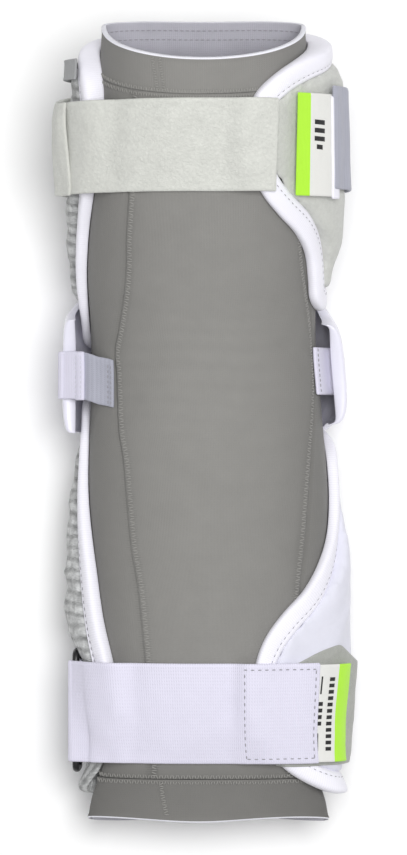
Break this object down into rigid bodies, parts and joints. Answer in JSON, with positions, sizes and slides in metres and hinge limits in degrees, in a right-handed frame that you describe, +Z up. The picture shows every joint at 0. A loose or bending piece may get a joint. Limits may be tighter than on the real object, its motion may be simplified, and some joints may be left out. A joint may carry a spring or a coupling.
{
  "type": "padded arm guard",
  "caption": "Padded arm guard for field sports: stretch sleeve with two quilted pads on the back of the arm, a plastic elbow cap on elastic tabs, and a strap round each pad.",
  "frame": {"origin": "on the surface it lies on, under the middle of the elbow cap", "axes": "+Y along the arm from the elbow to the bicep end, +Z up towards the inner side of the arm, +X to the right when seen from the inner side with the bicep end up"},
  "size_m": [0.1436, 0.3751, 0.1447],
  "materials": {
    "sleeve_knit": "matt stretch knit",
    "pad_fabric": "quilted ribbed fabric",
    "edge_binding": "smooth folded tape",
    "cap_plastic": "glossy moulded",
    "strap_elastic": "woven elastic",
    "anchor_webbing": "woven webbing",
    "strap_loop": "brushed loop pile",
    "label_tape": "smooth tape with a lime stripe",
    "ring_plastic": "satin moulded"
  },
  "bodies": {
    "root": {"sleeve_back": "sleeve_knit", "sleeve_front": "sleeve_knit", "bicep_cuff": "sleeve_knit", "forearm_cuff": "sleeve_knit", "bicep_pad": "pad_fabric", "forearm_pad": "pad_fabric", "bicep_pad_binding": "edge_binding", "forearm_pad_binding": "edge_binding", "elbow_cap": "cap_plastic", "elbow_loop_left": "strap_elastic", "elbow_tab_right": "strap_elastic", "forearm_strap": "strap_elastic", "elbow_tab_left": "anchor_webbing", "bicep_pull_strap": "anchor_webbing", "ring_anchor": "anchor_webbing", "bicep_strap": "strap_loop", "bicep_label": "label_tape", "forearm_label": "label_tape", "forearm_ring": "ring_plastic"}
  },
  "joints": []
}
